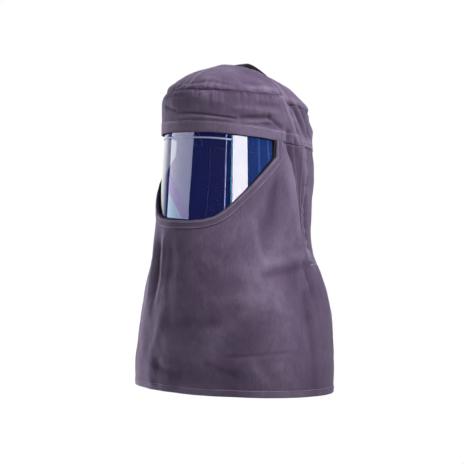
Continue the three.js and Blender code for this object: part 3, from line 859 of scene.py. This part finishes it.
def drapeColumns(side, lowSteps, rearSteps, browSteps):
    lowEnd = openingEdge["around"][-1] * hoodCut["openAngle"]
    reach, seam = hoodCut["openAngle"], hoodCut["sideSeam"]
    low = np.linspace(0, lowEnd, lowSteps + 1)
    rise = np.arange(1, rearSteps + 1) / rearSteps
    brow = mix(reach, seam, np.arange(1, browSteps + 1) / browSteps)
    around = np.concatenate([low, mix(lowEnd, reach, rise), brow])
    start, end = openingLow(side * lowEnd), browEdge(side * reach) + halfSeam
    drop = np.concatenate([openingLow(side * low), mix(start, end, rise), browEdge(side * brow) + halfSeam])
    length = edgeLength(around, drop)
    return side * around, drop, side * length / length[-1]


def bothHalves(*steps):
    right, left = drapeColumns(-1, *steps), drapeColumns(1, *steps)
    return [np.concatenate([r[1:][::-1], l]) for r, l in zip(right, left)]


def frontDrapeAt(steps):
    around, drop, share = bothHalves(*steps)

    def place(u, v):
        k = columnAt(u, len(around))
        here = mix(drop[k], hoodCut["drop"], v)
        lap = hoodCut["lap"] / girthAt(here) * (1 - smooth(here, hoodCut["slitTop"] - 10, hoodCut["slitTop"]))
        seamHere, seamAbove = seamAngle(here) - slitHalf(here), seamAngle(drop[k]) - slitHalf(drop[k])
        return share[k] * (seamHere + lap) + (around[k] - share[k] * seamAbove) * (1 - v), here
    return place, len(around)


def backDrapeAt(u, v):
    top = browEdge(mix(hoodCut["sideSeam"], 360 - hoodCut["sideSeam"], u)) + halfSeam
    drop = mix(top, hoodCut["drop"], v)
    seam = seamAngle(drop) + slitHalf(drop)
    return mix(seam, 360 - seam, u), drop


gores = {  # side, angle of the crown's middle seam
    "crown_front_left": (1, 0), "crown_back_left": (1, 180),
    "crown_back_right": (-1, 180), "crown_front_right": (-1, 0),
}
clothSteps = {  # columns and rows of each grid
    "gore": (96, 84), "browBand": (330, 60), "rearBand": (200, 44), "back": (150, 150),
    "frontRows": 165, "opening": 70, "openingEnd": 14, "brow": 36,
}


def makeCloth():
    for node, (side, middle) in gores.items():
        clothPiece(node, clothSteps["gore"], goreAt(side, middle), crownRelief, crownPaintedShading)
    clothPiece("brow_band", clothSteps["browBand"], bandAt(True), bandRelief, bandPaintedShading, "band")
    clothPiece("rear_band", clothSteps["rearBand"], bandAt(False), bandRelief, bandPaintedShading, "band")
    place, columns = frontDrapeAt([clothSteps[part] for part in ("opening", "openingEnd", "brow")])
    steps = (columns - 1, clothSteps["frontRows"])
    clothPiece("front_drape", steps, place, drapeRelief, drapePaintedShading)
    clothPiece("back_drape", clothSteps["back"], backDrapeAt, backRelief, drapePaintedShading)


def openingRun(count):  # the whole edge of the opening, brow to brow, evenly stepped
    around, drop, _ = bothHalves(80, clothSteps["openingEnd"], 1)
    inside = np.abs(around) <= hoodCut["openAngle"] + 0.01
    around, drop = around[inside], drop[inside]
    length = edgeLength(around, drop)
    even = np.linspace(0, length[-1], count)
    around, drop = np.interp(even, length, around), np.interp(even, length, drop)
    run, fall = np.gradient(np.radians(around) * headRadius), np.gradient(drop)
    for way in (run, fall):
        for _ in range(4):
            way[1:-1] = (way[:-2] + 2 * way[1:-1] + way[2:]) / 4
    size = np.hypot(run, fall)
    return around, drop, run / size, fall / size


def besideEdge(edge, k, offset):  # steps k of the opening's edge, offset outwards from it
    around, drop, run, fall = edge
    return around[k] - np.degrees(fall[k] * offset / headRadius), drop[k] + run[k] * offset


hemBand = {"width": 13, "rise": 1.3, "start": -0.2, "length": 560, "thick": 1.1, "steps": (360, 12)}


def makeOpeningHem():
    count, rows = hemBand["steps"]
    edge = openingRun(count)

    def pointsAt(u, v):
        k = columnAt(u, count)
        spots, drops = besideEdge(edge, k, mix(hemBand["start"], hemBand["width"], v))
        raised = hemBand["rise"] * (0.35 + 0.65 * smooth(v, 0, 0.12)) * (1 - 0.5 * smooth(v, 0.9, 1))
        ease = 0.3 * puckered(u * hemBand["length"], v * 6, 141)
        return clothPoint(spots, drops, drapeRelief, raised + ease)

    def weaveAt(u, v):
        return np.stack([u * hemBand["length"], v * hemBand["width"]], -1)

    def paintedShadingAt(u, v):
        # painted highlights on the strip's folded edge and beside its outer stitching, painted shadow under
        # its outer edge and a little painted shade across its middle
        paintedEdgeLight = 0.22 * bump(v, 0.1) + 0.16 * bump(v - 0.86, 0.1)
        return paintedEdgeLight - 0.3 * bump(v - 1, 0.06) - 0.08 * bump(v - 0.4, 0.2)

    mesh = gridMesh("opening_hem", count - 1, rows, pointsAt, weaveAt, paintedShadingAt)
    thicken(linkPiece("opening_hem", mesh, "hem"), hemBand["thick"])


makeCloth()
makeOpeningHem()
print("cloth laid")


# Visor, its trim and its rail

def visorForm(around, drop):  # straight lines from its top curve to its foot curve
    high = hoodCut["browFront"] - visorCut["tuck"]
    low = hoodCut["browFront"] + hoodCut["openDrop"] + visorCut["lap"]
    top, foot = plainForm(around, np.full_like(drop, high)), plainForm(around, np.full_like(drop, low))
    return mix(top, foot, ((drop - high) / (low - high))[:, None])


def visorFace(around, drop, depth):
    return raisedFrom(visorForm, around, drop, -depth)


def makeVisor():
    reach = hoodCut["openAngle"] + angleOf(visorCut["lap"], hoodCut["browFront"])

    def pointsAt(u, v):
        around = mix(-reach, reach, u)
        drop = mix(browEdge(around) - visorCut["tuck"], openingLow(around) + visorCut["lap"], v)
        return visorFace(around, drop, visorCut["face"])

    mesh = gridMesh("visor_sheet", *visorCut["steps"], pointsAt)
    thicken(linkPiece("visor_sheet", mesh, "visor", "visor"), visorCut["thick"])


def makeRail():
    def pointsAt(u, v):
        around = mix(-railCut["reach"], railCut["reach"], u)
        drop = browEdge(around) + railCut["drop"] + railCut["height"] * (v - 0.5)
        return visorFace(around, drop, visorCut["face"] - railCut["ease"] - railCut["thick"])

    mesh = gridMesh("visor_top_rail", *railCut["steps"], pointsAt)
    rail = linkPiece("visor_top_rail", mesh, "rail", "visor_rail")
    thicken(rail, railCut["thick"])
    softenEdges(rail, railCut["round"])


def makeTrim():
    count, rows = trimCut["steps"]
    edge = openingRun(count)

    def pointsAt(u, v):  # a closed section: out along the front, back along the rear
        k = columnAt(u, count)
        turn = 2 * np.pi * v
        width = (trimCut["show"] + trimCut["lap"]) / 2
        offset = (trimCut["lap"] - trimCut["show"]) / 2 - width * np.cos(turn)
        spots, drops = besideEdge(edge, k, offset)
        front = raisedFrom(plainForm, spots, drops, -trimCut["front"])
        rear = visorFace(spots, drops, trimCut["back"])
        return mix(front, rear, (0.5 - 0.5 * np.sin(turn))[:, None])

    mesh = gridMesh("visor_trim", count - 1, rows, pointsAt)
    bm = bmesh.new()
    bm.from_mesh(mesh)
    bmesh.ops.remove_doubles(bm, verts=bm.verts, dist=1e-6)
    bmesh.ops.holes_fill(bm, edges=[e for e in bm.edges if e.is_boundary], sides=0)
    bmesh.ops.recalc_face_normals(bm, faces=bm.faces)
    bm.to_mesh(mesh)
    bm.free()
    linkPiece("visor_trim", mesh, "trim", "visor_gasket")


makeVisor()
makeRail()
makeTrim()
print("visor set in")


# Hanging strap along the crown's back centre seam
strapCut = {
    "start": 2, "length": 114, "width": 22, "thick": 2.4, "rise": 10.5, "foot": 0.05, "flatness": 4,
    "lift": 0.8, "round": 0.7, "steps": (14, 60),
}


def strapLine(share):
    back = strapCut["start"] + strapCut["length"] * share
    reach = plainForm(180.0, float(hoodCut["domeDepth"]))[1]
    crown = plainForm(np.full_like(share, 180.0), domeDrop(back / reach))[:, 2]
    arch = np.clip((share - strapCut["foot"]) / (1 - 2 * strapCut["foot"]), 0, 1)
    rise = strapCut["rise"] * (1 - np.abs(2 * arch - 1) ** strapCut["flatness"])
    return back, crown + strapCut["lift"] + strapCut["thick"] + rise


def makeStrap():
    def pointsAt(u, v):
        back, high = strapLine(v)
        return np.stack([(u - 0.5) * strapCut["width"], back, high], -1)

    def weaveAt(u, v):
        return np.stack([u * strapCut["width"], v * strapCut["length"]], -1)

    mesh = gridMesh("hang_strap", *strapCut["steps"], pointsAt, weaveAt)
    bm = bmesh.new()
    bm.from_mesh(mesh)
    bmesh.ops.reverse_faces(bm, faces=bm.faces)  # so that they look up, away from the crown
    bm.to_mesh(mesh)
    bm.free()
    strap = linkPiece("hang_strap", mesh, "strap", "hang_loop")
    thicken(strap, strapCut["thick"])
    softenEdges(strap, strapCut["round"])


makeStrap()
print("strap on")


# Stitches: short threads laid end to end along each sewn line
stitchCut = {"pitch": 3.1, "length": 2.9, "thick": 0.74, "lift": 0.12, "segments": 6, "rings": 4}


def stitchMesh():
    bm = bmesh.new()
    size = Matrix.Diagonal((stitchCut["thick"] * mm, stitchCut["thick"] * mm, stitchCut["length"] * mm, 1))
    bmesh.ops.create_uvsphere(bm, u_segments=stitchCut["segments"], v_segments=stitchCut["rings"],
                              radius=0.5, matrix=size)
    return meshOf("stitch", bm)


def sewLines(name, lines, relief):
    stitch = stitchMesh()
    bm = bmesh.new()
    for around, drop, lift in lines:
        points = clothPoint(around, drop, relief, lift + stitchCut["lift"]) * mm
        length = runLength(np.linalg.norm(np.diff(points, axis=0), axis=1)) / mm
        middle = (np.arange(int(length[-1] / stitchCut["pitch"])) + 0.5) * stitchCut["pitch"]
        half = stitchCut["length"] / 2
        start = np.stack([np.interp(middle - half, length, points[:, k]) for k in range(3)], -1)
        end = np.stack([np.interp(middle + half, length, points[:, k]) for k in range(3)], -1)
        for a, b in zip(start, end):
            laid = stitch.copy()
            turn = Vector(b - a).to_track_quat("Z", "Y").to_matrix().to_4x4()
            laid.transform(Matrix.Translation(Vector((a + b) / 2)) @ turn)
            bm.from_mesh(laid)
            bpy.data.meshes.remove(laid)
    bpy.data.meshes.remove(stitch)
    linkPiece(name, meshOf(name, bm), "thread")


def spread(first, last, count=240):
    return np.linspace(first, last, count)


# Rows of stitches: distances from their seam or edge, in millimetres
stitchRows = {
    "crown": (2.2, 7.2), "brow": (15.5, 13.6), "rear": (3, 9), "bandSide": (2, 7.5), "side": (2, 9),
    "slit": 6.5, "underBrow": 3, "tack": (0, 0.9, 1.8), "opening": (11.2, 2.6),
}


def crownRows():
    for seam in crownSeams:
        drop = domeDrop(spread(0.08, float(domeShare(crownSeam(seam + 1.0, 0.0) - 2.0))))
        for beside in stitchRows["crown"]:
            yield seam + beside / np.maximum(girthAt(drop), 0.2), drop, 0


def bandRows():
    foot, top = hoodCut["bandFoot"], hoodCut["bandTop"]
    front, rear = spread(1 - foot, foot - 1, 500), spread(foot + 2, 358 - foot, 360)
    for above in stitchRows["brow"]:
        yield front, browEdge(front) - above, 0
    for above in stitchRows["rear"]:
        yield rear, browEdge(rear) - above, 0
    for side in (1, -1):
        drop = spread(float(frontSeam(side * top)) + 2, float(browEdge(side * foot)) - 2)
        for beside in stitchRows["bandSide"]:
            yield side * (headSeam(side, drop) - beside / headDegree), drop, 0


def drapeRows():
    seam, slitTop, foot = hoodCut["sideSeam"], hoodCut["slitTop"], hoodCut["slitAngleFoot"]
    for side in (1, -1):
        drop = spread(float(browEdge(side * seam)) + 3, slitTop - 4)
        for beside in stitchRows["side"]:
            yield side * (seamAngle(drop) - beside / girthAt(drop)), drop, 0
        drop = spread(slitTop + 12, hoodCut["drop"] - 3)
        beside = slitHalf(drop) + stitchRows["slit"] / girthAt(drop)
        yield side * (seamAngle(drop) - beside), drop, 0
        yield side * (seamAngle(drop) + beside), drop, 0
        brow = side * spread(hoodCut["openAngle"] + 8, seam - 1, 60)
        yield brow, browEdge(brow) + stitchRows["underBrow"], 0
        tack = side * spread(108, 123, 20)
        for row in stitchRows["tack"]:
            yield tack, np.full(20, slitTop + row), 0.2
    edge = foot - float(slitHalf(hoodCut["drop"])) - 1.5
    for first, last, count in ((-edge, edge, 800), (foot + 5, 355 - foot, 600)):
        yield spread(first, last, count), np.full(count, hoodCut["drop"] - sewnCut["hem"]), 0.1
    rear = spread(seam + 2, 358 - seam, 360)
    yield rear, browEdge(rear) + stitchRows["underBrow"], 0
    for beside, share in zip(stitchRows["opening"], (0.8, 1)):
        yield *besideEdge(openingRun(900), slice(None), beside), share * hemBand["rise"]


sewLines("crown_stitching", crownRows(), crownRelief)
sewLines("band_stitching", bandRows(), bandRelief)
sewLines("drape_stitching", drapeRows(), drapeRelief)
print("stitched")

# Stage and light
floorSet = {"radius": 2.4, "height": -1.2, "colour": (0.8, 0.8, 0.81, 1), "rough": 0.9}
lights = [  # name, azimuth and distance round the hood, height, width, tall, power, colour
    ("keySoft", 98, 1.25, 1.0, 0.45, 0.45, 5.2, (1, 1, 1)),
    ("frontSoft", 56, 1.8, 0.9, 0.8, 0.8, 8, (1, 1, 1)),
    ("rimSoft", -87, 1.6, -0.2, 0.35, 1.2, 44, (1, 1, 1)),
    ("topSoft", 68, 1.0, 1.6, 0.8, 0.8, 13.5, (1, 1, 1)),
]
mirrored = [  # panels that only the visor shows, the same way
    ("stripRight", 64.5, 2.2, 0.4, 0.95, 0.9, 34, (1, 0.91, 0.67)),
    ("stripEdge", 50.5, 2.2, 0.4, 0.07, 0.9, 0.9, (0.25, 0.95, 1)),
    ("streakFront", 40.5, 2.2, 0.4, 0.05, 0.9, 1.1, (0.7, 0.75, 1)),
    ("panelLeft", -50, 2.2, 0.7, 2.2, 0.62, 12, (1, 0.95, 0.9)),
    ("panelPink", -50, 2.2, 0.355, 2.2, 0.07, 1.3, (1, 0.82, 0.95)),
    ("panelTeal", -50, 2.2, 0.22, 2.2, 0.2, 4.6, (0.8, 1, 0.93)),
    ("panelBlue", 104, 2.2, 0.4, 2.1, 0.9, 5.2, (0.05, 0.32, 1)),
    ("streakBlue", 96, 2.2, 0.4, 0.14, 0.9, 0.4, (0.2, 0.45, 1)),
    ("streakEdge", 112, 2.2, 0.4, 0.1, 0.9, 0.35, (0.15, 0.5, 1)),
]
beams = {"keySoft": (-0.12, 90), "others": (-0.28, 180)}  # height that a light aims at, beam in degrees
studio = {"back": (1, 1, 1, 1), "dark": (0.035, 0.05, 0.34, 1), "soft": (0.095, 0.095, 0.105, 1)}


def makeFloor():
    bm = bmesh.new()
    bmesh.ops.create_circle(bm, cap_ends=True, segments=96, radius=floorSet["radius"])
    bmesh.ops.translate(bm, verts=bm.verts, vec=(0, 0, floorSet["height"]))
    floor = addObject("studio_floor", meshOf("studio_floor", bm))
    material, _, shader = shaderTree("floorPaint")
    setSockets(shader, {"Base Color": floorSet["colour"], "Roughness": floorSet["rough"]})
    floor.data.materials.append(material)


def hangLights():
    for name, azimuth, distance, height, wide, tall, power, colour in lights + mirrored:
        data = bpy.data.lights.new(name, "AREA")
        data.shape, data.size, data.size_y = "RECTANGLE", wide, tall
        data.energy, data.color = power, colour
        aimHeight, beam = beams.get(name, beams["others"])
        data.spread = math.radians(beam)
        light = addObject(name, data)
        light.visible_glossy = not name.endswith("Soft")
        light.visible_diffuse = name.endswith("Soft")
        light.visible_transmission = False
        lookAt(light, Vector((0, 0, aimHeight)), towards(azimuth) * distance + Vector((0, 0, height)))


def blendBy(tree, share, low, high):
    blend = tree.nodes.new("ShaderNodeMix")
    blend.data_type = "RGBA"
    tree.links.new(share, blend.inputs[0])
    tree.links.new(low, blend.inputs[6])
    blend.inputs[7].default_value = high
    return blend.outputs[2]


def makeWorld():  # a white backdrop behind the hood, a dark room before it, and a soft grey for the cloth
    world = bpy.data.worlds.new("studioWorld")
    world.use_nodes = True
    tree = world.node_tree
    path, way = tree.nodes.new("ShaderNodeLightPath"), tree.nodes.new("ShaderNodeTexCoord")
    ahead = addNode(tree, "ShaderNodeVectorMath", operation="DOT_PRODUCT")
    ahead.inputs[1].default_value = -towards(cameraSet["azimuth"])
    tree.links.new(way.outputs["Generated"], ahead.inputs[0])
    room = colourRamp(tree, ahead.outputs["Value"], [(0.6, studio["dark"]), (0.8, studio["back"])])
    room = blendBy(tree, path.outputs["Is Diffuse Ray"], room, studio["soft"])
    room = blendBy(tree, path.outputs["Is Camera Ray"], room, studio["back"])
    tree.links.new(room, tree.nodes["Background"].inputs["Color"])
    bpy.context.scene.world = world
    bpy.context.scene.view_settings.view_transform = "Standard"


makeFloor()
hangLights()
makeWorld()
print("lit")
